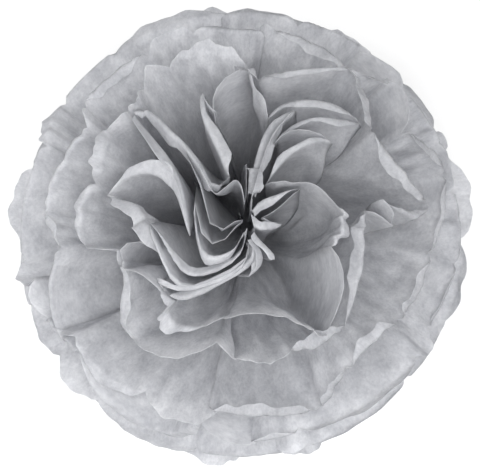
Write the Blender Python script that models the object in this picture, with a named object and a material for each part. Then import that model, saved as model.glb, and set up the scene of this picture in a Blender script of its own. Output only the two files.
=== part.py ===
"""Tissue paper pom pom: twelve pleated sheets tied together at the middle and opened into a ball.

Run it with blender --background --python part.py, or from Blender's text editor. Metres, +Z up.
The sheets were stacked, pleated together, tied at the middle with a wire and cut round at the ends.
Six were then pulled up and six down, so each is a ring of panels around the upright axis through the tie.
The pom pom rests on z = 0, its lowest panels pressed flat where they meet the surface.

Every sheet is worked out in shell coordinates about the tie: r, the distance from it, theta, the angle down
from the axis, and the azimuth. A sheet is theta as a function of r and azimuth. The sheets keep their order and
a least gap at every r and azimuth, so they never cross. One smooth warp of all space then turns and bends them.
"""

import math

import bpy
import numpy as np

# Driving dimensions
SHEETS = 12
PANELS = 10  # panels, between pleats, across one half of a sheet
STATIONS = 24  # azimuth steps across the half turn that one half of a sheet opens to
CUSP_RADIUS = 0.1175  # from the tie to the notch between two panels
SCALLOP = 0.0070  # how far a panel's round end stands past its notches
TIE_HEIGHT = 0.1113  # the tie's middle above the surface
PAPER = 0.0005  # a sheet's thickness, crumple included
PAPER_FROM = 0.011  # nearer the tie than this, a sheet is squeezed thinner
LEAST_PAPER = 0.00004  # and so is one where it stands steep among its neighbours, down to this
FOLD_SQUEEZE = 3.0  # and one at a sharp fold, by this power of how flat it is
LEAST_GAP = 0.0030  # from one sheet's middle face to the next
RADII = (0.005, 0.018, 0.042, 0.074, 0.104)  # where the sheet is sampled, before its scalloped end

# The gathered middle
NECK_SPREAD = 0.28  # share of a sheet's opening that it already has at the tie
NECK_RISE = 0.028  # a sheet has bent up most of the way by this distance
STACK_LIFT = 0.013  # raises the upper sheets over the lower ones at the tie
STACK_FADE = 0.030
SLIT = 0.0016  # half the opening between a sheet's two halves, beside the tie
SLIT_FAR = 0.0003  # and further out, where the two edges meet

# The ruffles
RUFFLE = math.radians(8.0)  # how far an average fold of the heart swings off its sheet's cone
RUFFLE_AT_RIM = 0.5  # share of the ruffle that every sheet has
RUFFLE_AT_HEART = 0.75  # and what the sheets nearest the axis add to it
CREASE_SOFTNESS = 0.35  # 0 for flat panels between sharp creases, 1 for waves
WOBBLE = math.radians(4.0)  # slow waves round a sheet
BOW = math.radians(5.0)  # how far each sheet bulges between the tie and its rim
SEAM_DRIFT = math.radians(13.0)  # moves the slits of different sheets out of line
SEAM_WAVES = 5.0
LEAST_THETA = math.radians(2.5)
SEED = 14

# Whirls in the warp of each cap: azimuth, theta, radius and turn, in degrees. Those nearest the axis turn the
# heart's panels round each other, and the lower cap goes without them.
HEART_WHIRLS = 5
WHIRLS = (
    (100, 14, 16, 60),
    (200, 16, 17, -62),
    (320, 15, 16, 58),
    (30, 30, 15, -40),
    (260, 32, 16, 44),
    (150, 40, 15, 34),
    (350, 45, 16, -30),
    (80, 48, 16, 30),
    (215, 50, 15, -30),
)

# The pressed underside
PRESS_FROM = 0.104  # below the tie, where the surface starts to push the panels up
PRESS_DEPTH = 0.006
PRESS_SLOPE = 0.06
PRESS_SPREAD = 0.5  # the pressed paper turns outwards by this share of its depth

# The tie
WIRE_RADIUS = 0.00045
LOOP_RADIUS = 0.0092
STRAND_OFFSET = 0.00065  # from the twisted tail's middle to each strand
TAIL_LENGTH = 0.017
TAIL_PITCH = 0.0065
LOOP_STEPS = 26
TAIL_STEPS = 14


def smooth(value, low, high):
    """0 below low, 1 above high, and a smooth rise between."""
    t = np.clip((value - low) / (high - low), 0.0, 1.0)
    return t * t * (3.0 - 2.0 * t)


def fold_plan(sheet, side):
    """Where one half of a sheet is folded, 0 to 1 across it, how far each fold lifts, and its slow waves."""
    rng = np.random.RandomState(SEED * 1000 + sheet * 10 + side)
    from_pole = min(sheet, SHEETS - 1 - sheet)
    steps = rng.permutation([1, 1, 1, 2, 2, 2, 3, 3, 4, 5] if from_pole < 2 else [1, 1, 2, 2, 2, 3, 3, 3, 3, 4])
    folds = np.concatenate([[0], np.cumsum(steps)]) / STATIONS
    size = RUFFLE_AT_RIM + RUFFLE_AT_HEART * math.exp(-((from_pole / 1.5) ** 2))
    lift = (-1.0) ** (np.arange(PANELS + 1) + sheet) * rng.uniform(-0.1, 1.4, PANELS + 1) * size
    lift[0] = 0.2
    lift[-1] = -0.2
    return folds, lift, rng.uniform(-1.0, 1.0, 4)


PLANS = [[fold_plan(sheet, side) for side in (0, 1)] for sheet in range(SHEETS)]


def panel_at(folds, across):
    """The panel that each place across a half sheet lies in, and how far across that panel it is."""
    panel = np.clip(np.searchsorted(folds, across, side="right") - 1, 0, PANELS - 1)
    return panel, (across - folds[panel]) / (folds[panel + 1] - folds[panel])


def wanted_theta(sheet, side, r, across):
    """The theta that a sheet would take on its own."""
    folds, lift, wave = PLANS[sheet][side]
    rim = math.pi * (sheet + 0.5) / SHEETS
    neck = math.pi / 2 + (rim - math.pi / 2) * NECK_SPREAD
    middle = neck + (rim - neck) * (1.0 - np.exp(-((r / NECK_RISE) ** 1.6)))
    panel, share = panel_at(folds, across)
    soft = share * share * (3.0 - 2.0 * share)
    share = share + (soft - share) * CREASE_SOFTNESS * smooth(r, 0.03, 0.12)
    ruffle = lift[panel] + (lift[panel + 1] - lift[panel]) * share
    turn = 2.0 * math.pi * across
    slow = wave[0] * np.sin(turn + 6.0 * wave[1]) + wave[2] * np.sin(2.0 * turn + 6.0 * wave[3])
    wobble = WOBBLE * smooth(r, 0.01, 0.08) * np.sin(math.pi * across) * slow
    bow = BOW * math.cos(rim) * np.sin(math.pi * smooth(r, 0.02, 0.131))
    return middle + RUFFLE * smooth(r, 0.004, 0.06) * ruffle + wobble + bow


def ordered_thetas(side, r, across):
    """Every sheet's theta at each place, moved as little as keeps the order and the least gap.

    This is isotonic regression in its min-max form, on the thetas less the gaps under them.
    """
    gap = LEAST_GAP * smooth(r, 0.006, 0.03) / r
    wanted = np.stack([wanted_theta(sheet, side, r, across) - sheet * gap for sheet in range(SHEETS)])
    sums = np.concatenate([np.zeros((1,) + wanted.shape[1:]), np.cumsum(wanted, axis=0)])
    found = []
    for sheet in range(SHEETS):
        starts = []
        for first in range(sheet + 1):
            means = [(sums[last + 1] - sums[first]) / (last + 1 - first) for last in range(sheet, SHEETS)]
            starts.append(np.min(means, axis=0))
        theta = np.max(starts, axis=0) + sheet * gap
        lowest = LEAST_THETA + sheet * gap
        highest = math.pi - LEAST_THETA - (SHEETS - 1 - sheet) * gap
        found.append(np.clip(theta, lowest, highest))
    return found


def whirled(theta, azimuth, r, whirls):
    """Turns the paper of one cap about each whirl in turn, more towards the rim. It never folds space over."""
    x, y = theta * np.cos(azimuth), theta * np.sin(azimuth)
    for whirl in whirls:
        at_azimuth, at_theta, radius, turn = (math.radians(angle) for angle in whirl)
        dx, dy = x - at_theta * math.cos(at_azimuth), y - at_theta * math.sin(at_azimuth)
        angle = turn * np.exp(-(dx * dx + dy * dy) / radius**2) * smooth(r, 0.025, 0.11)
        x = x - dx + dx * np.cos(angle) - dy * np.sin(angle)
        y = y - dy + dx * np.sin(angle) + dy * np.cos(angle)
    return np.hypot(x, y), np.arctan2(y, x)


def pressed(x, y, z):
    """Presses what would reach below the surface into a thin layer over it, turned outwards. z is then above it."""
    below = np.maximum(-z - PRESS_FROM, 0.0)
    squeezed = PRESS_DEPTH * (1.0 - np.exp(-below / PRESS_DEPTH)) + PRESS_SLOPE * below
    ring = np.hypot(x, y)
    spread = 1.0 + PRESS_SPREAD * below / np.maximum(ring, 0.012)
    return x * spread, y * spread, np.where(below > 0.0, -PRESS_FROM - squeezed, z) + TIE_HEIGHT


def placed(theta, azimuth, r):
    """Shell coordinates as points, z above the surface."""
    upper = theta < math.pi / 2
    theta_up, azimuth_up = whirled(theta, azimuth, r, WHIRLS)
    theta_down, azimuth_down = whirled(math.pi - theta, azimuth + 1.0, r, WHIRLS[HEART_WHIRLS:])
    theta = np.where(upper, theta_up, math.pi - theta_down)
    azimuth = np.where(upper, azimuth_up, azimuth_down - 1.0)
    azimuth = azimuth + SEAM_DRIFT * np.sin(theta) * np.sin(SEAM_WAVES * theta + 0.7) * smooth(r, 0.03, 0.09)
    stack = STACK_LIFT * np.exp(-r / STACK_FADE) * (1.0 - 2.0 * theta / math.pi)
    ring = r * np.sin(theta)
    return np.stack(pressed(ring * np.cos(azimuth), ring * np.sin(azimuth), r * np.cos(theta) + stack), axis=-1)


def half_azimuth(side, r, across):
    """Azimuth across a half sheet. Side 0 opens towards +X and side 1 towards -X, with a slit at +Y and -Y."""
    half_slit = SLIT_FAR + (SLIT - SLIT_FAR) * (1.0 - smooth(r, 0.03, 0.05))
    edge = np.arcsin(np.minimum(half_slit / r, 0.9))
    azimuth = edge - math.pi / 2 + across * (math.pi - 2.0 * edge)
    return azimuth if side == 0 else math.pi - azimuth


def rim_radius(sheet, side, across):
    """From the tie to the cut end, which is a round scallop on each panel."""
    folds = PLANS[sheet][side][0]
    panel, share = panel_at(folds, across)
    width = (folds[panel + 1] - folds[panel]) * PANELS
    arc = np.clip(4.0 * share * (1.0 - share), 0.0, 1.0) ** 0.75
    return CUSP_RADIUS + SCALLOP * np.clip(width, 0.6, 1.2) * arc


def lay_flat(faces, reach):
    """Turns the tips of the lowest sheet, beyond its last row but one, outwards and flat on the surface."""
    heel = faces[1][-2, :, :2].copy()
    toe = heel * (1.0 + reach / np.linalg.norm(heel, axis=1))[:, None]
    for face, height in zip(faces, (PAPER, 0.0)):
        face[-2, :, :2] = heel
        face[-1, :, :2] = toe
        face[-2:, :, 2] = height


def half_sheet(sheet, side):
    """One half's middle face, from the tie outwards, and its thickness towards the next sheet, as two grids of xyz."""
    across = np.linspace(0.0, 1.0, STATIONS + 1)
    rows = [np.full_like(across, radius) for radius in RADII] + [rim_radius(sheet, side, across)]
    r = np.stack(rows)
    across = np.broadcast_to(across, r.shape)
    theta = ordered_thetas(side, r, across)[sheet]
    azimuth = half_azimuth(side, r, across)
    half_paper = PAPER / 2 / np.maximum(r, PAPER_FROM)
    through = placed(theta + half_paper, azimuth, r) - placed(theta - half_paper, azimuth, r)
    return placed(theta, azimuth, r), through


def point_normals(points, triangles):
    """The mean of the unit normals of the triangles round each point, so a sharp fold has a short one."""
    corners = points[triangles]
    normals = np.cross(corners[:, 1] - corners[:, 0], corners[:, 2] - corners[:, 0])
    normals /= np.linalg.norm(normals, axis=1, keepdims=True)
    totals, counts = np.zeros_like(points), np.zeros((len(points), 1))
    for corner in range(3):
        np.add.at(totals, triangles[:, corner], normals)
        np.add.at(counts, triangles[:, corner], 1.0)
    return totals / counts


def sheet_mesh(name, sheet):
    """A closed mesh of one sheet: rim, tie and rim again along it, two faces, and a border all round."""
    right, left = half_sheet(sheet, 0), half_sheet(sheet, 1)
    middle, through = (np.concatenate([left[which][::-1], right[which]]) for which in (0, 1))
    rows, columns = middle.shape[:2]
    count = rows * columns
    grid = []
    for corner in (row * columns + column for row in range(rows - 1) for column in range(columns - 1)):
        beside, above = corner + 1, corner + columns
        grid += [(corner, beside, above + 1), (corner, above + 1, above)]
    normals = point_normals(middle.reshape(-1, 3), np.array(grid)).reshape(middle.shape)
    flatness = np.linalg.norm(normals, axis=2, keepdims=True)
    normals /= flatness
    thickness = np.maximum((normals * through).sum(axis=2, keepdims=True) * flatness**FOLD_SQUEEZE, LEAST_PAPER)
    faces = [middle + side * normals * thickness / 2 for side in (-1, 1)]
    if sheet == SHEETS - 1:
        faces = [middle + side * through / 2 for side in (-1, 1)]
        reach = rim_radius(sheet, 0, np.linspace(0.0, 1.0, columns)) - RADII[-1]
        lay_flat([face[rows // 2 :] for face in faces], reach)
        reach = rim_radius(sheet, 1, np.linspace(0.0, 1.0, columns)) - RADII[-1]
        lay_flat([face[: rows // 2][::-1] for face in faces], reach)
    triangles = [(c, b, a) for a, b, c in grid]
    triangles += [(a + count, b + count, c + count) for a, b, c in grid]
    border = list(range(columns))
    border += [row * columns + columns - 1 for row in range(1, rows)]
    border += [(rows - 1) * columns + column for column in range(columns - 2, -1, -1)]
    border += [row * columns for row in range(rows - 2, 0, -1)]
    for start, end in zip(border, border[1:] + border[:1]):
        triangles.append((start, end, end + count))
        triangles.append((start, end + count, start + count))
    mesh = bpy.data.meshes.new(name)
    mesh.from_pydata(np.concatenate(faces).reshape(-1, 3).tolist(), [], triangles)
    return mesh


def tie_points():
    """The wire's middle line: down one strand of the tail, round the loop, and back up the other strand."""
    along = np.linspace(TAIL_LENGTH, 0.0, TAIL_STEPS)
    twist = math.pi / 2 + 2.0 * math.pi * along / TAIL_PITCH
    tail_start = LOOP_RADIUS + 0.0006
    first = []
    for y, turn in zip(along, twist):
        first.append((STRAND_OFFSET * math.cos(turn), tail_start + y, STRAND_OFFSET * math.sin(turn)))
    second = [(-x, y, -z) for x, y, z in reversed(first)]
    opening = math.asin(0.0018 / LOOP_RADIUS)
    loop = [
        (0.0, LOOP_RADIUS * math.cos(turn), LOOP_RADIUS * math.sin(turn))
        for turn in np.linspace(opening, 2.0 * math.pi - opening, LOOP_STEPS)
    ]
    return [(x, y, z + TIE_HEIGHT) for x, y, z in first + loop + second]


def tie_wire(material):
    curve = bpy.data.curves.new("tie_wire", "CURVE")
    curve.dimensions = "3D"
    curve.bevel_depth = WIRE_RADIUS
    curve.bevel_resolution = 1
    curve.use_fill_caps = True
    points = tie_points()
    spline = curve.splines.new("POLY")
    spline.points.add(len(points) - 1)
    for point, place in zip(spline.points, points):
        point.co = (*place, 1.0)
    curve.materials.append(material)
    wire = bpy.data.objects.new("tie_wire", curve)
    bpy.context.scene.collection.objects.link(wire)
    return wire


def principled(name, colour, roughness, metallic):
    material = bpy.data.materials.new(name)
    material.use_nodes = True
    shader = material.node_tree.nodes["Principled BSDF"]
    shader.inputs["Base Color"].default_value = (*colour, 1.0)
    shader.inputs["Roughness"].default_value = roughness
    shader.inputs["Metallic"].default_value = metallic
    return material


def main():
    for old in list(bpy.data.objects):
        bpy.data.objects.remove(old)
    tissue = principled("grey_tissue", (0.40, 0.405, 0.43), 0.9, 0.0)
    steel = principled("tie_steel", (0.55, 0.55, 0.57), 0.4, 1.0)
    pieces = []
    for sheet in range(SHEETS):
        upper = sheet < SHEETS // 2
        name = f"upper_sheet_{sheet + 1}" if upper else f"lower_sheet_{SHEETS - sheet}"
        mesh = sheet_mesh(name, sheet)
        mesh.materials.append(tissue)
        mesh.shade_smooth()
        pieces.append(bpy.data.objects.new(name, mesh))
        bpy.context.scene.collection.objects.link(pieces[-1])
    low = np.min([vertex.co for piece in pieces for vertex in piece.data.vertices], axis=0)
    high = np.max([vertex.co for piece in pieces for vertex in piece.data.vertices], axis=0)
    pieces.append(tie_wire(steel))
    for piece in pieces:
        piece.location = (-(low[0] + high[0]) / 2, -(low[1] + high[1]) / 2, 0.0)


main()
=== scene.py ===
"""Tissue paper pom pom, as a Blender add-on that is run as a script.

Twelve pleated sheets of grey tissue are tied at the middle with a wire and pulled apart into a ball, six of them
up and six down. Each sheet is worked out in shell coordinates about the tie: r, the distance from it, theta, the
angle down from the axis, and the azimuth. The sheets keep their order and a least gap everywhere, and one smooth
warp of all space then turns and bends them together. Geometry Nodes crumple each sheet and give it its thickness.
"""

import math

import bpy
import numpy as np
from bpy.props import FloatProperty, IntProperty, PointerProperty, StringProperty
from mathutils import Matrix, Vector


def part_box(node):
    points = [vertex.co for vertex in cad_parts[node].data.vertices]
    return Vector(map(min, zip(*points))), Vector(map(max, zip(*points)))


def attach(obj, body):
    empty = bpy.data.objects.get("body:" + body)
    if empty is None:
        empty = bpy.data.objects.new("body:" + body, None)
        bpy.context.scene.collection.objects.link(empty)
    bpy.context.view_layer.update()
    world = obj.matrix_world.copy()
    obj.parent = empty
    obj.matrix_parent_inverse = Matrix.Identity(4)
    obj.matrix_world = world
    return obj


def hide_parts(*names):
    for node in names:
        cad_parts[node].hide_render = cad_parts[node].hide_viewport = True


bl_info = {
    "name": "Tissue Paper Pom Pom",
    "version": (1, 0, 0),
    "blender": (4, 5, 0),
    "location": "View3D > Sidebar > Pom Pom",
    "description": "Builds a tissue paper pom pom with its wire tie and a plain studio",
    "category": "Add Mesh",
}

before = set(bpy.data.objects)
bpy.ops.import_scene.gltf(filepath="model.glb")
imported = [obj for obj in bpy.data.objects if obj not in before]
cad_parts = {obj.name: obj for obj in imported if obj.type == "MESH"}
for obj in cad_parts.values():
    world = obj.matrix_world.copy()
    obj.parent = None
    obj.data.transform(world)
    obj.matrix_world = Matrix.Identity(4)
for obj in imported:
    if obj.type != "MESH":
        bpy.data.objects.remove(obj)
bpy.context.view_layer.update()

# The sheets, as they were pleated and cut. Metres and radians throughout.
SHEETS = 12
PANELS = 10  # panels, between pleats, across one half of a sheet
STATIONS = 24  # azimuth steps that the folds of a half sheet stand on
CUSP_RADIUS = 0.1175  # from the tie to the notch between two panels
SCALLOP = 0.0070  # how far a panel's round end stands past its notches
TIE_RADIUS = 0.005  # the gathered middle of every sheet
TIE_HEIGHT = 0.1113  # the tie's middle above the floor
LEAST_GAP = 0.0030  # from one sheet to the next
SEED = 14

# The gathered middle
NECK_SPREAD = 0.28  # share of a sheet's opening that it already has at the tie
NECK_RISE = 0.028  # a sheet has bent up most of the way by this distance
STACK_LIFT = 0.013  # raises the upper sheets over the lower ones at the tie
STACK_FADE = 0.030
SLIT = 0.0016  # half the opening between a sheet's two halves, beside the tie
SLIT_FAR = 0.0003  # and further out

# The ruffles
RUFFLE = math.radians(8.0)  # how far an average fold of the heart swings off its sheet's cone
RUFFLE_AT_RIM = 0.75  # share of the ruffle that every sheet has
RUFFLE_AT_HEART = 0.75  # and what the sheets nearest the axis add to it
CREASE_SOFTNESS = 0.12  # 0 for flat panels between sharp creases, 1 for waves
WOBBLE = math.radians(4.0)  # slow waves round a sheet
BOW = math.radians(5.0)  # how far each sheet bulges between the tie and its rim
SEAM_DRIFT = math.radians(13.0)  # moves the slits of different sheets out of line
SEAM_WAVES = 5.0
LEAST_THETA = math.radians(2.5)
LAP = math.radians(3.5)  # how far one half's edges lap over the other's
LAP_RISE = 0.0011  # and how far off the sheet they stand there

# Whirls in the warp of each cap: azimuth, theta, radius and turn, in degrees
HEART_WHIRLS = 5
WHIRLS = (
    (100, 14, 16, 60),
    (200, 16, 17, -62),
    (320, 15, 16, 58),
    (30, 30, 15, -40),
    (260, 32, 16, 44),
    (150, 40, 15, 34),
    (350, 45, 16, -30),
    (80, 48, 16, 30),
    (215, 50, 15, -30),
)

# The pressed underside
PRESS_FROM = 0.104  # below the tie, where the floor starts to push the panels up
PRESS_DEPTH = 0.006
PRESS_SLOPE = 0.06
PRESS_SPREAD = 0.5  # the pressed paper turns outwards by this share of its depth
HEEL_RADIUS = 0.104  # the lowest sheet lies on the floor from this far from the tie
HEEL_BEND = 0.006
HEEL_FADE = 0.0035
FLOOR_GAP = 0.0002  # half the paper, with its crumple

# The finer grid that carries the creases, tips and waves
COLUMNS_PER_STATION = 6
ROWS = 46
ROW_CROWDING = 1.45  # above 1, the rows lie closer together towards the rim

# The tie
WIRE_RADIUS = 0.00045
LOOP_RADIUS = 0.0092
STRAND_OFFSET = 0.00065
TAIL_LENGTH = 0.017
TAIL_PITCH = 0.0065
TAIL_GAP = 0.0006
LOOP_OPENING = 0.0018  # half the gap where the loop's two ends turn into the tail
TAIL_POINTS = 90
LOOP_POINTS = 110

# The stage
FLOOR_REACH = 20.0
KEY_PLACE = (-0.9, -0.35, 0.75)
KEY_SIZE = 0.7
FILL_PLACE = (0.15, -0.3, 1.3)
FILL_SIZE = 1.0
CAMERA_RISE = math.radians(82.0)  # above the horizon
CAMERA_DISTANCE = 0.62


def tie_place():
    """Where the tie stands on the floor, from the CAD wire's box."""
    low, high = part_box("tie_wire")
    return np.array([(low[0] + high[0]) / 2, low[1] + LOOP_RADIUS + WIRE_RADIUS])


TIE_XY = tie_place()


def smooth(value, low, high):
    """0 below low, 1 above high, and a smooth rise between."""
    t = np.clip((value - low) / (high - low), 0.0, 1.0)
    return t * t * (3.0 - 2.0 * t)


def fold_plan(sheet, side):
    """Where one half of a sheet is folded, 0 to 1 across it, how far each fold lifts, and its slow waves."""
    rng = np.random.RandomState(SEED * 1000 + sheet * 10 + side)
    from_pole = min(sheet, SHEETS - 1 - sheet)
    widths = [1, 1, 1, 2, 2, 2, 3, 3, 4, 5] if from_pole < 2 else [1, 1, 2, 2, 2, 3, 3, 3, 3, 4]
    steps = rng.permutation(widths)
    folds = np.concatenate([[0], np.cumsum(steps)]) / STATIONS
    size = RUFFLE_AT_RIM + RUFFLE_AT_HEART * math.exp(-((from_pole / 1.5) ** 2))
    lift = (-1.0) ** (np.arange(PANELS + 1) + sheet) * rng.uniform(-0.1, 1.4, PANELS + 1) * size
    lift[0] = 0.2
    lift[-1] = -0.2
    return folds, lift, rng.uniform(-1.0, 1.0, 4)


def finish_plan(sheet, side):
    """What sets one panel off from the next: its cup, its turned tip and its edge's waves."""
    rng = np.random.RandomState(SEED * 7000 + sheet * 10 + side)
    return {
        "cup": rng.uniform(-1.0, 1.0, PANELS),
        "turns": rng.uniform(0.0, 1.0, PANELS),
        "side": rng.choice([-1.0, 1.0], PANELS, p=[0.75, 0.25]),
        "wave": rng.uniform(0.0, 1.0, 6),
    }


PLANS = [[fold_plan(sheet, side) for side in (0, 1)] for sheet in range(SHEETS)]
FINISHES = [[finish_plan(sheet, side) for side in (0, 1)] for sheet in range(SHEETS)]


def panel_at(folds, across):
    """The panel that each place across a half sheet lies in, and how far across that panel it is."""
    panel = np.clip(np.searchsorted(folds, across, side="right") - 1, 0, PANELS - 1)
    return panel, (across - folds[panel]) / (folds[panel + 1] - folds[panel])


def edge_waves(sheet, side, r, across):
    """Small waves that grow towards the cut edge, in metres off the sheet."""
    a, b, c, d, e, f = FINISHES[sheet][side]["wave"]
    turn = 2.0 * math.pi
    waves = 0.5 * np.sin(turn * (across * (14 + 4 * a) + b + 3.0 * r / 0.12))
    waves += 0.35 * np.sin(turn * (across * (27 + 6 * c) + d))
    waves += 0.3 * np.sin(turn * (across * 5.0 + e) + 40.0 * r + 6.0 * f)
    return waves * smooth(r, 0.05, 0.118) * np.sin(math.pi * across) ** 0.5


def wanted_theta(sheet, side, r, across, wave_height, cup_angle):
    """The theta that a sheet would take on its own."""
    folds, lift, wave = PLANS[sheet][side]
    rim = math.pi * (sheet + 0.5) / SHEETS
    neck = math.pi / 2 + (rim - math.pi / 2) * NECK_SPREAD
    middle = neck + (rim - neck) * (1.0 - np.exp(-((r / NECK_RISE) ** 1.6)))
    panel, share = panel_at(folds, across)
    cup = FINISHES[sheet][side]["cup"][panel] * np.sin(math.pi * share) * smooth(r, 0.03, 0.11)
    soft = share * share * (3.0 - 2.0 * share)
    share = share + (soft - share) * CREASE_SOFTNESS * smooth(r, 0.03, 0.12)
    ruffle = lift[panel] + (lift[panel + 1] - lift[panel]) * share
    turn = 2.0 * math.pi * across
    slow = wave[0] * np.sin(turn + 6.0 * wave[1]) + wave[2] * np.sin(2.0 * turn + 6.0 * wave[3])
    wobble = WOBBLE * smooth(r, 0.01, 0.08) * np.sin(math.pi * across) * slow
    bow = BOW * math.cos(rim) * np.sin(math.pi * smooth(r, 0.02, 0.131))
    theta = middle + RUFFLE * smooth(r, 0.004, 0.06) * ruffle + wobble + bow
    return theta + cup_angle * cup + wave_height * edge_waves(sheet, side, r, across) / r


def ordered_thetas(side, r, across, wave_height, cup_angle):
    """Every sheet's theta at each place, moved as little as keeps the order and the least gap.

    This is isotonic regression in its min-max form, on the thetas less the gaps under them.
    """
    gap = LEAST_GAP * smooth(r, 0.006, 0.03) / r
    own = [wanted_theta(sheet, side, r, across, wave_height, cup_angle) for sheet in range(SHEETS)]
    wanted = np.stack([theta - sheet * gap for sheet, theta in enumerate(own)])
    sums = np.concatenate([np.zeros((1,) + wanted.shape[1:]), np.cumsum(wanted, axis=0)])
    found = []
    for sheet in range(SHEETS):
        starts = []
        for first in range(sheet + 1):
            means = [(sums[last + 1] - sums[first]) / (last + 1 - first) for last in range(sheet, SHEETS)]
            starts.append(np.min(means, axis=0))
        theta = np.max(starts, axis=0) + sheet * gap
        lowest = LEAST_THETA + sheet * gap
        highest = math.pi - LEAST_THETA - (SHEETS - 1 - sheet) * gap
        found.append(np.clip(theta, lowest, highest))
    return found


def whirled(theta, azimuth, r, whirls):
    """Turns the paper of one cap about each whirl in turn, more towards the rim. It never folds space over."""
    x, y = theta * np.cos(azimuth), theta * np.sin(azimuth)
    for whirl in whirls:
        at_azimuth, at_theta, radius, turn = (math.radians(angle) for angle in whirl)
        dx, dy = x - at_theta * math.cos(at_azimuth), y - at_theta * math.sin(at_azimuth)
        angle = turn * np.exp(-(dx * dx + dy * dy) / radius**2) * smooth(r, 0.025, 0.11)
        x = x - dx + dx * np.cos(angle) - dy * np.sin(angle)
        y = y - dy + dx * np.sin(angle) + dy * np.cos(angle)
    return np.hypot(x, y), np.arctan2(y, x)


def pressed(x, y, z):
    """Presses what would reach below the floor into a thin layer over it, turned outwards. z is then above it."""
    below = np.maximum(-z - PRESS_FROM, 0.0)
    squeezed = PRESS_DEPTH * (1.0 - np.exp(-below / PRESS_DEPTH)) + PRESS_SLOPE * below
    ring = np.hypot(x, y)
    spread = 1.0 + PRESS_SPREAD * below / np.maximum(ring, 0.012)
    return x * spread, y * spread, np.where(below > 0.0, -PRESS_FROM - squeezed, z) + TIE_HEIGHT


def placed(theta, azimuth, r):
    """Shell coordinates as points in the frame."""
    upper = theta < math.pi / 2
    theta_up, azimuth_up = whirled(theta, azimuth, r, WHIRLS)
    theta_down, azimuth_down = whirled(math.pi - theta, azimuth + 1.0, r, WHIRLS[HEART_WHIRLS:])
    theta = np.where(upper, theta_up, math.pi - theta_down)
    azimuth = np.where(upper, azimuth_up, azimuth_down - 1.0)
    azimuth = azimuth + SEAM_DRIFT * np.sin(theta) * np.sin(SEAM_WAVES * theta + 0.7) * smooth(r, 0.03, 0.09)
    stack = STACK_LIFT * np.exp(-r / STACK_FADE) * (1.0 - 2.0 * theta / math.pi)
    ring = r * np.sin(theta)
    x, y, z = pressed(ring * np.cos(azimuth), ring * np.sin(azimuth), r * np.cos(theta) + stack)
    return np.stack([x + TIE_XY[0], y + TIE_XY[1], z], axis=-1)


def half_azimuth(side, r, across):
    """Azimuth across a half sheet. Side 0 opens towards +X and side 1 towards -X, with a slit at +Y and -Y.

    Away from the tie side 0's two edges lap over side 1's.
    """
    half_slit = SLIT_FAR + (SLIT - SLIT_FAR) * (1.0 - smooth(r, 0.03, 0.05))
    edge = np.arcsin(np.minimum(half_slit / r, 0.9))
    if side == 0:
        edge = edge - LAP * smooth(r, 0.035, 0.075)
    azimuth = edge - math.pi / 2 + across * (math.pi - 2.0 * edge)
    return azimuth if side == 0 else math.pi - azimuth


def rim_radius(sheet, side, across, ripple):
    """From the tie to the cut end, a round scallop on each panel, cut a little unevenly."""
    folds = PLANS[sheet][side][0]
    panel, share = panel_at(folds, across)
    width = (folds[panel + 1] - folds[panel]) * PANELS
    arc = np.clip(4.0 * share * (1.0 - share), 0.0, 1.0) ** 0.75
    _, _, c, d, e, f = FINISHES[sheet][side]["wave"]
    turn = 2.0 * math.pi
    uneven = np.sin(turn * (across * (15 + 4 * c) + d)) + 0.5 * np.sin(turn * (across * (33 + 8 * e) + f))
    return CUSP_RADIUS + SCALLOP * np.clip(width, 0.6, 1.2) * arc + ripple * uneven


def surface(sheet, side, r, across, settings):
    """Points of one half of a sheet, before its tips are turned."""
    theta = ordered_thetas(side, r, across, settings.edge_wave, settings.cup)[sheet]
    if side == 0:
        near_end = 1.0 - smooth(np.minimum(across, 1.0 - across), 0.0, 0.09)
        theta = theta - LAP_RISE / r * near_end * smooth(r, 0.03, 0.06)
    return placed(theta, half_azimuth(side, r, across), r)


def turn_tips(points, r, sheet, side, across, settings):
    """Folds the round tips of some panels over the line between their notches."""
    folds = PLANS[sheet][side][0]
    finish = FINISHES[sheet][side]
    panel, share = panel_at(folds, across)
    for number in range(PANELS):
        steps = (folds[number + 1] - folds[number]) * STATIONS
        if steps < 1.5 or finish["turns"][number] > settings.turned_share:
            continue
        columns = np.flatnonzero((panel == number) & (share > 0.02) & (share < 0.98))
        fold_r = CUSP_RADIUS + (0.05 + 0.25 * abs(finish["cup"][number])) * SCALLOP
        line = surface(sheet, side, np.full(len(columns), fold_r), across[columns], settings)
        along = line[-1] - line[0]
        along /= np.linalg.norm(along)
        chance = finish["turns"][number] / settings.turned_share
        angle = settings.turn_low + (settings.turn_high - settings.turn_low) * chance
        for column, foot in zip(columns, line):
            rows = np.flatnonzero(r[:, column] > fold_r)
            if len(rows) == 0:
                continue
            out = points[-1, column] - foot
            out -= along * out.dot(along)
            length = np.linalg.norm(out)
            if length < 1e-5:
                continue
            out /= length
            up = np.cross(along, out) * finish["side"][number]
            d = r[rows, column] - fold_r
            bend = settings.bend_radius
            turned = np.minimum(d / bend, angle)
            rest = np.maximum(d - bend * angle, 0.0)
            forward = bend * np.sin(turned) + rest * math.cos(angle)
            sideways = bend * (1.0 - np.cos(turned)) + rest * math.sin(angle)
            points[rows, column] = foot + np.outer(forward, out) + np.outer(sideways, up)


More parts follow.
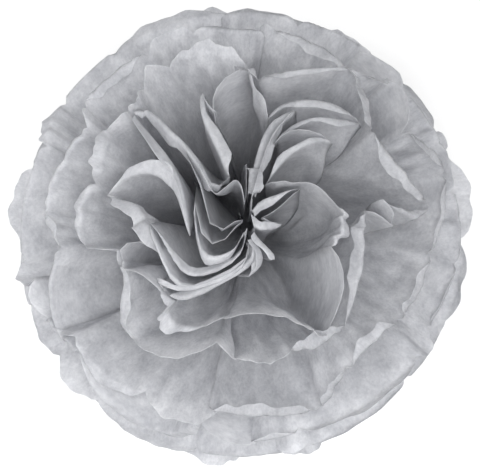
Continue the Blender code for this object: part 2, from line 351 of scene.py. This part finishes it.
def half_sheet(sheet, side, settings):
    """Points of one half, from the tie outwards, and their places on the flat paper in metres."""
    across = np.linspace(0.0, 1.0, STATIONS * COLUMNS_PER_STATION + 1)
    steps = np.linspace(0.0, 1.0, ROWS)
    steps = 1.0 - (1.0 - steps) ** ROW_CROWDING
    rim = rim_radius(sheet, side, across, settings.edge_ripple)
    r = TIE_RADIUS + steps[:, None] * (rim - TIE_RADIUS)[None]
    grid = np.broadcast_to(across, r.shape)
    points = surface(sheet, side, r, grid, settings)
    if sheet == SHEETS - 1:
        lay_flat(points, r)
    elif sheet < SHEETS - 2:
        turn_tips(points, r, sheet, side, across, settings)
    apart = sheet * 0.7  # so that no two sheets show the same clouds
    flat = np.stack([grid * settings.flat_width + apart, r * (1 if side == 0 else -1)], axis=-1)
    return points, flat


def lay_flat(points, r):
    """Turns the tips of the lowest sheet outwards and flat on the floor."""
    heel_row = int(np.argmax(r[:, 0] > HEEL_RADIUS))
    heel = points[heel_row, :, :2] - TIE_XY
    out = heel / np.linalg.norm(heel, axis=1, keepdims=True)
    rows = np.arange(heel_row, len(points))
    reach = r[rows] - r[heel_row]
    flat = heel[None] + out[None] * reach[..., None] + TIE_XY
    bend = smooth(r[rows], HEEL_RADIUS, HEEL_RADIUS + HEEL_BEND)[..., None]
    points[rows, :, :2] = points[rows, :, :2] * (1 - bend) + flat * bend
    points[rows, :, 2] = FLOOR_GAP + points[heel_row, :, 2] * np.exp(-reach / HEEL_FADE)


# Meshes and nodes


def mesh_object(name, points, faces):
    """An object of these faces, in the scene."""
    mesh = bpy.data.meshes.new(name)
    mesh.from_pydata(points.reshape(-1, 3).tolist(), [], faces)
    piece = bpy.data.objects.new(name, mesh)
    bpy.context.scene.collection.objects.link(piece)
    return piece


def linear(hex_colour):
    """An sRGB hex colour as linear red, green, blue and alpha."""
    values = [int(hex_colour[at : at + 2], 16) / 255 for at in (1, 3, 5)]
    return [v / 12.92 if v <= 0.04045 else ((v + 0.055) / 1.055) ** 2.4 for v in values] + [1.0]


def node(tree, kind, inputs=None, **settings):
    """Adds a node, sets its settings, and gives each input a value or links a socket to it."""
    made = tree.nodes.new(kind)
    for key, value in settings.items():
        setattr(made, key, value)
    for key, value in (inputs or {}).items():
        if isinstance(value, bpy.types.NodeSocket):
            tree.links.new(value, made.inputs[key])
        else:
            made.inputs[key].default_value = value
    return made


def math_node(tree, operation, first, second):
    return node(tree, "ShaderNodeMath", {0: first, 1: second}, operation=operation).outputs[0]


def tree_with(name, sockets):
    """A geometry node tree with a Geometry input and output and these named inputs."""
    tree = bpy.data.node_groups.new(name, "GeometryNodeTree")
    tree.interface.new_socket("Geometry", in_out="INPUT", socket_type="NodeSocketGeometry")
    for label, kind, default in sockets:
        socket = tree.interface.new_socket(label, in_out="INPUT", socket_type=kind)
        if default is not None:
            socket.default_value = default
    tree.interface.new_socket("Geometry", in_out="OUTPUT", socket_type="NodeSocketGeometry")
    return tree, tree.nodes.new("NodeGroupInput").outputs


def finish(tree, geometry, material):
    """Ends a tree: real geometry, with its material."""
    real = node(tree, "GeometryNodeRealizeInstances", {"Geometry": geometry}).outputs[0]
    painted = node(tree, "GeometryNodeSetMaterial", {"Geometry": real, "Material": material}).outputs[0]
    node(tree, "NodeGroupOutput", {"Geometry": painted})


def set_inputs(modifier, values):
    """Sets a geometry modifier's inputs by their sockets' identifiers."""
    for item in modifier.node_group.interface.items_tree:
        if item.item_type == "SOCKET" and item.in_out == "INPUT" and item.name in values:
            modifier[item.identifier] = values[item.name]


def made_plain(piece, tree, values):
    """Runs the tree on the piece and keeps the result as its plain mesh."""
    modifier = piece.modifiers.new("shape", "NODES")
    modifier.node_group = tree
    set_inputs(modifier, values)
    graph = bpy.context.evaluated_depsgraph_get()
    mesh = bpy.data.meshes.new_from_object(piece.evaluated_get(graph))
    piece.modifiers.clear()
    old = piece.data
    piece.data = mesh
    bpy.data.meshes.remove(old)
    mesh.name = piece.name
    mesh.shade_smooth()


def crumple_tree():
    """Crumples a sheet off its smooth middle face by noise, and gives it a thickness by closing it all round."""
    tree, given = tree_with(
        "crumpled_tissue",
        [
            ("Crumple Height", "NodeSocketFloat", 0.0004),
            ("Crumple Size", "NodeSocketFloat", 0.012),
            ("Thickness", "NodeSocketFloat", 0.00012),
            ("Seed", "NodeSocketFloat", 0.0),
            ("Material", "NodeSocketMaterial", None),
        ],
    )
    position = node(tree, "GeometryNodeInputPosition").outputs[0]
    normal = node(tree, "GeometryNodeInputNormal").outputs[0]
    scale = math_node(tree, "DIVIDE", 1.0, given["Crumple Size"])
    noise = node(
        tree,
        "ShaderNodeTexNoise",
        {"Vector": position, "W": given["Seed"], "Scale": scale, "Detail": 3.0, "Roughness": 0.55},
        noise_dimensions="4D",
    )
    centred = math_node(tree, "SUBTRACT", noise.outputs[0], 0.5)
    height = math_node(tree, "MULTIPLY", centred, given["Crumple Height"])
    push = node(tree, "ShaderNodeVectorMath", {0: normal, "Scale": height}, operation="SCALE").outputs[0]
    moved = node(tree, "GeometryNodeSetPosition", {"Geometry": given["Geometry"], "Offset": push}).outputs[0]
    back = math_node(tree, "MULTIPLY", given["Thickness"], -1.0)
    outward = node(tree, "GeometryNodeInputNormal").outputs[0]
    sink = node(tree, "ShaderNodeVectorMath", {0: outward, "Scale": back}, operation="SCALE").outputs[0]
    shell = node(
        tree,
        "GeometryNodeExtrudeMesh",
        {"Mesh": moved, "Offset": sink, "Offset Scale": 1.0, "Individual": False},
        mode="FACES",
    ).outputs[0]
    joined = node(tree, "GeometryNodeJoinGeometry")
    flipped = node(tree, "GeometryNodeFlipFaces", {"Mesh": shell}).outputs[0]
    tree.links.new(moved, joined.inputs[0])
    tree.links.new(flipped, joined.inputs[0])
    weld = {"Geometry": joined.outputs[0], "Distance": 1e-6}
    finish(tree, node(tree, "GeometryNodeMergeByDistance", weld).outputs[0], given["Material"])
    return tree


def wire_tree():
    """Sweeps round wire along a line of edges, with closed ends."""
    tree, given = tree_with(
        "swept_wire",
        [
            ("Wire Radius", "NodeSocketFloat", 0.00045),
            ("Sides", "NodeSocketInt", 14),
            ("Material", "NodeSocketMaterial", None),
        ],
    )
    path = node(tree, "GeometryNodeMeshToCurve", {"Mesh": given["Geometry"]}).outputs[0]
    round_section = {"Resolution": given["Sides"], "Radius": given["Wire Radius"]}
    ring = node(tree, "GeometryNodeCurvePrimitiveCircle", round_section)
    swept = node(
        tree,
        "GeometryNodeCurveToMesh",
        {"Curve": path, "Profile Curve": ring.outputs[0], "Fill Caps": True},
    ).outputs[0]
    finish(tree, swept, given["Material"])
    return tree


# Materials

CLOUD_SHARE = 0.65  # of the tissue's mottling. The rest is its fibres.


def noise_of(tree, place, size_mm, detail, roughness):
    """Noise whose patches are about this many millimetres across."""
    inputs = {"Vector": place, "Scale": 1000.0 / size_mm, "Detail": detail, "Roughness": roughness}
    return node(tree, "ShaderNodeTexNoise", inputs).outputs[0]


def ramp(tree, value, *stops):
    """Turns a value into a colour, by stops of a position and an sRGB hex colour."""
    made = node(tree, "ShaderNodeValToRGB", {"Fac": value})
    for element, (position, colour) in zip(made.color_ramp.elements, stops):
        element.position = position
        element.color = linear(colour)
    return made.outputs[0]


def grey_tissue(settings):
    """Machine-glazed tissue, dyed grey and unglossed: matt, and thin enough that one layer over white looks paler.

    Its fibres lie in clouds a few millimetres across, which show best where light comes through it.
    """
    material = bpy.data.materials.new("dyed_tissue_paper")
    material.use_nodes = True
    tree = material.node_tree
    tree.nodes.clear()
    paper = node(tree, "ShaderNodeUVMap", uv_map="flat_paper").outputs[0]
    clouds = noise_of(tree, paper, 16.0, 6.0, 0.66)
    fibres = noise_of(tree, paper, 2.2, 3.0, 0.7)
    share = math_node(tree, "MULTIPLY", fibres, 1.0 - CLOUD_SHARE)
    blend = node(tree, "ShaderNodeMath", {0: clouds, 1: CLOUD_SHARE, 2: share}, operation="MULTIPLY_ADD").outputs[0]
    shade = ramp(tree, blend, (0.36, settings.thick_colour), (0.64, settings.thin_colour))
    through = ramp(tree, blend, (0.36, settings.through_thick), (0.64, settings.through_thin))
    rough = node(tree, "ShaderNodeBump", {"Height": fibres, "Strength": 0.25, "Distance": 0.0003}).outputs[0]
    matt = {"Base Color": shade, "Roughness": 0.85, "Specular IOR Level": 0.2, "Normal": rough}
    face = node(tree, "ShaderNodeBsdfPrincipled", matt).outputs[0]
    lit = node(tree, "ShaderNodeBsdfTranslucent", {"Color": through, "Normal": rough}).outputs[0]
    mix = node(tree, "ShaderNodeMixShader", {0: settings.translucency, 1: face, 2: lit})
    node(tree, "ShaderNodeOutputMaterial", {"Surface": mix.outputs[0]})
    return material


def drawn_wire():
    """Galvanised florist's wire, drawn: a dull silver grey with faint streaks along it."""
    material = bpy.data.materials.new("galvanised_steel_wire")
    material.use_nodes = True
    tree = material.node_tree
    shader = tree.nodes["Principled BSDF"]
    place = node(tree, "ShaderNodeTexCoord").outputs["Object"]
    shade = ramp(tree, noise_of(tree, place, 1.2, 2.0, 0.5), (0.0, "#8E9092"), (1.0, "#C0C2C4"))
    tree.links.new(shade, shader.inputs["Base Color"])
    shader.inputs["Metallic"].default_value = 1.0
    shader.inputs["Roughness"].default_value = 0.42
    return material


def plain(name, colour, roughness):
    """One even colour."""
    material = bpy.data.materials.new(name)
    material.use_nodes = True
    shader = material.node_tree.nodes["Principled BSDF"]
    shader.inputs["Base Color"].default_value = linear(colour)
    shader.inputs["Roughness"].default_value = roughness
    return material


class SheetSettings(bpy.types.PropertyGroup):
    """The tissue sheets' finish."""

    thickness: FloatProperty(
        name="Paper Thickness",
        description="Thickness of a sheet with its crumple",
        default=0.00012,
        min=0.00002,
        unit="LENGTH",
    )
    crumple_height: FloatProperty(
        name="Crumple Height",
        description="How far the crumple stands off the sheet",
        default=0.0009,
        unit="LENGTH",
    )
    crumple_size: FloatProperty(
        name="Crumple Size",
        description="Distance from one crumple to the next",
        default=0.014,
        min=0.001,
        unit="LENGTH",
    )
    edge_wave: FloatProperty(
        name="Edge Wave",
        description="Height of the waves along the cut edges",
        default=0.0015,
        unit="LENGTH",
    )
    edge_ripple: FloatProperty(
        name="Edge Ripple",
        description="How unevenly the edges were cut",
        default=0.0009,
        unit="LENGTH",
    )
    cup: FloatProperty(
        name="Cup",
        description="How far a panel bulges between its two folds",
        default=math.radians(2.2),
        subtype="ANGLE",
    )
    turned_share: FloatProperty(
        name="Turned Tips",
        description="Share of the panels whose tip is turned over",
        default=0.8,
        min=0.01,
        max=1.0,
        subtype="FACTOR",
    )
    turn_low: FloatProperty(
        name="Least Turn",
        description="Least angle that a tip is turned by",
        default=math.radians(45.0),
        subtype="ANGLE",
    )
    turn_high: FloatProperty(
        name="Most Turn",
        description="Most angle that a tip is turned by",
        default=math.radians(155.0),
        subtype="ANGLE",
    )
    bend_radius: FloatProperty(
        name="Bend Radius",
        description="Radius of a turned tip's bend",
        default=0.0009,
        min=0.0001,
        unit="LENGTH",
    )
    flat_width: FloatProperty(
        name="Flat Width",
        description="Width of a sheet before it was pleated",
        default=0.51,
        unit="LENGTH",
    )
    thick_colour: StringProperty(
        name="Thick Colour",
        description="The paper where its fibres lie thickest, as an sRGB hex value",
        default="#B9BABE",
    )
    thin_colour: StringProperty(
        name="Thin Colour",
        description="The paper where its fibres lie thinnest, as an sRGB hex value",
        default="#D6D7DA",
    )
    through_thick: StringProperty(
        name="Through Thick",
        description="Light through the thickest paper, as an sRGB hex value",
        default="#D0D1D4",
    )
    through_thin: StringProperty(
        name="Through Thin",
        description="Light through the thinnest paper, as an sRGB hex value",
        default="#FAFAFB",
    )
    translucency: FloatProperty(
        name="Translucency",
        description="Share of light that goes through",
        default=0.58,
        min=0.0,
        max=1.0,
        subtype="FACTOR",
    )


class TieSettings(bpy.types.PropertyGroup):
    """The wire tie."""

    wire_radius: FloatProperty(
        name="Wire Radius",
        description="Radius of the wire",
        default=WIRE_RADIUS,
        min=0.0001,
        unit="LENGTH",
    )
    sides: IntProperty(
        name="Sides",
        description="Sides of the wire's round section",
        default=14,
        min=6,
        max=32,
    )


class StageSettings(bpy.types.PropertyGroup):
    """Floor and light."""

    floor_colour: StringProperty(
        name="Floor Colour",
        description="The floor, as an sRGB hex value",
        default="#F4F4F4",
    )
    sky: FloatProperty(
        name="Sky",
        description="Strength of the even light from all round",
        default=0.52,
        min=0.0,
    )
    key_power: FloatProperty(
        name="Key Light",
        description="Power of the large light at the left",
        default=6.6,
        unit="POWER",
    )
    fill_power: FloatProperty(
        name="Fill Light",
        description="Power of the soft light over the camera",
        default=18.0,
        unit="POWER",
    )
    lens: FloatProperty(
        name="Lens",
        description="Focal length in millimetres",
        default=85.0,
    )


def sheet_name(sheet):
    """The CAD node that a sheet stands for."""
    upper = sheet < SHEETS // 2
    return f"upper_sheet_{sheet + 1}" if upper else f"lower_sheet_{SHEETS - sheet}"


def grid_faces(rows, columns):
    """The quads of a grid of points."""
    starts = (np.arange(rows - 1)[:, None] * columns + np.arange(columns - 1)[None]).ravel()
    return np.stack([starts, starts + 1, starts + columns + 1, starts + columns], axis=1).tolist()


def tissue_sheet(sheet, settings, tree, material):
    """One sheet, from rim to tie to rim, as one closed mesh."""
    right, right_flat = half_sheet(sheet, 0, settings)
    left, left_flat = half_sheet(sheet, 1, settings)
    points = np.concatenate([left[::-1], right])
    flat = np.concatenate([left_flat[::-1], right_flat]).reshape(-1, 2)
    faces = [face[::-1] for face in grid_faces(*points.shape[:2])]
    piece = mesh_object(f"tissue_{sheet_name(sheet)}", points, faces)
    corners = piece.data.uv_layers.new(name="flat_paper")
    corners.data.foreach_set("uv", flat[np.array(faces).ravel()].astype(np.float32).ravel())
    values = {
        "Crumple Height": settings.crumple_height,
        "Crumple Size": settings.crumple_size,
        "Thickness": settings.thickness,
        "Seed": float(sheet),
        "Material": material,
    }
    made_plain(piece, tree, values)
    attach(piece, "root")
    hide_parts(sheet_name(sheet))
    return piece


class POMPOM_OT_sheets(bpy.types.Operator):
    """Builds the twelve tissue sheets, six pulled up and six pulled down"""

    bl_idname = "pompom.sheets"
    bl_label = "Tissue Sheets"

    def execute(self, context):
        settings = context.scene.pompom_sheets
        tree = crumple_tree()
        material = grey_tissue(settings)
        for sheet in range(SHEETS):
            tissue_sheet(sheet, settings, tree, material)
        return {"FINISHED"}


def tie_line():
    """The wire's middle line: down one strand of the tail, round the loop, and back up the other strand."""
    along = np.linspace(TAIL_LENGTH, 0.0, TAIL_POINTS)
    turn = math.pi / 2 + 2.0 * math.pi * along / TAIL_PITCH
    start = LOOP_RADIUS + TAIL_GAP
    first = np.stack([STRAND_OFFSET * np.cos(turn), start + along, STRAND_OFFSET * np.sin(turn)], axis=1)
    second = (first * [-1.0, 1.0, -1.0])[::-1]
    opening = math.asin(LOOP_OPENING / LOOP_RADIUS)
    turn = np.linspace(opening, 2.0 * math.pi - opening, LOOP_POINTS)
    loop = np.stack([np.zeros_like(turn), LOOP_RADIUS * np.cos(turn), LOOP_RADIUS * np.sin(turn)], axis=1)
    return np.concatenate([first, loop, second]) + [TIE_XY[0], TIE_XY[1], TIE_HEIGHT]


class POMPOM_OT_tie(bpy.types.Operator):
    """Builds the wire loop that gathers the sheets, with its twisted tail"""

    bl_idname = "pompom.tie"
    bl_label = "Wire Tie"

    def execute(self, context):
        settings = context.scene.pompom_tie
        points = tie_line()
        mesh = bpy.data.meshes.new("wire_tie")
        mesh.from_pydata(points.tolist(), [(at, at + 1) for at in range(len(points) - 1)], [])
        piece = bpy.data.objects.new("wire_tie", mesh)
        context.scene.collection.objects.link(piece)
        values = {"Wire Radius": settings.wire_radius, "Sides": settings.sides, "Material": drawn_wire()}
        made_plain(piece, wire_tree(), values)
        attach(piece, "root")
        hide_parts("tie_wire")
        return {"FINISHED"}


def area_light(name, place, target, size, power):
    """A square light that faces the target."""
    light = bpy.data.lights.new(name, "AREA")
    light.size = size
    light.energy = power
    lamp = bpy.data.objects.new(name, light)
    lamp.location = place
    lamp.rotation_euler = (Vector(target) - Vector(place)).to_track_quat("-Z", "Y").to_euler()
    bpy.context.scene.collection.objects.link(lamp)


class POMPOM_OT_stage(bpy.types.Operator):
    """Builds the plain floor, the soft studio light and the camera"""

    bl_idname = "pompom.stage"
    bl_label = "Stage"

    def execute(self, context):
        settings = context.scene.pompom_stage
        scene = context.scene
        corners = np.array([(-1.0, -1.0, 0.0), (1.0, -1.0, 0.0), (1.0, 1.0, 0.0), (-1.0, 1.0, 0.0)])
        floor = mesh_object("floor", corners * FLOOR_REACH, [(0, 1, 2, 3)])
        floor.data.materials.append(plain("painted_floor", settings.floor_colour, 0.9))
        world = bpy.data.worlds.new("studio")
        world.use_nodes = True
        sky = world.node_tree.nodes["Background"]
        sky.inputs["Color"].default_value = (1.0, 1.0, 1.0, 1.0)
        sky.inputs["Strength"].default_value = settings.sky
        scene.world = world
        middle = Vector((0.0, 0.0, TIE_HEIGHT))
        area_light("key", KEY_PLACE, middle, KEY_SIZE, settings.key_power)
        area_light("fill", FILL_PLACE, middle, FILL_SIZE, settings.fill_power)
        camera = bpy.data.cameras.new("camera")
        camera.lens = settings.lens
        camera.sensor_width = 36.0
        stand = bpy.data.objects.new("camera", camera)
        back = Vector((0.0, -math.cos(CAMERA_RISE), math.sin(CAMERA_RISE)))
        stand.location = middle + back * CAMERA_DISTANCE
        stand.rotation_euler = (-back).to_track_quat("-Z", "Y").to_euler()
        scene.collection.objects.link(stand)
        scene.camera = stand
        scene.view_settings.view_transform = "Standard"
        return {"FINISHED"}


class POMPOM_PT_panel(bpy.types.Panel):
    """Lists the pom pom's parts"""

    bl_label = "Pom Pom"
    bl_idname = "POMPOM_PT_panel"
    bl_space_type = "VIEW_3D"
    bl_region_type = "UI"
    bl_category = "Pom Pom"

    def draw(self, context):
        for group in ("sheets", "tie", "stage"):
            box = self.layout.box()
            settings = getattr(context.scene, f"pompom_{group}")
            for key in settings.__annotations__:
                box.prop(settings, key)
            box.operator(f"pompom.{group}")


CLASSES = (
    SheetSettings,
    TieSettings,
    StageSettings,
    POMPOM_OT_sheets,
    POMPOM_OT_tie,
    POMPOM_OT_stage,
    POMPOM_PT_panel,
)


def register():
    for kind in CLASSES:
        bpy.utils.register_class(kind)
    bpy.types.Scene.pompom_sheets = PointerProperty(type=SheetSettings)
    bpy.types.Scene.pompom_tie = PointerProperty(type=TieSettings)
    bpy.types.Scene.pompom_stage = PointerProperty(type=StageSettings)


def unregister():
    del bpy.types.Scene.pompom_stage
    del bpy.types.Scene.pompom_tie
    del bpy.types.Scene.pompom_sheets
    for kind in reversed(CLASSES):
        bpy.utils.unregister_class(kind)


def main():
    register()
    bpy.ops.pompom.sheets()
    bpy.ops.pompom.tie()
    bpy.ops.pompom.stage()


if __name__ == "__main__":
    main()
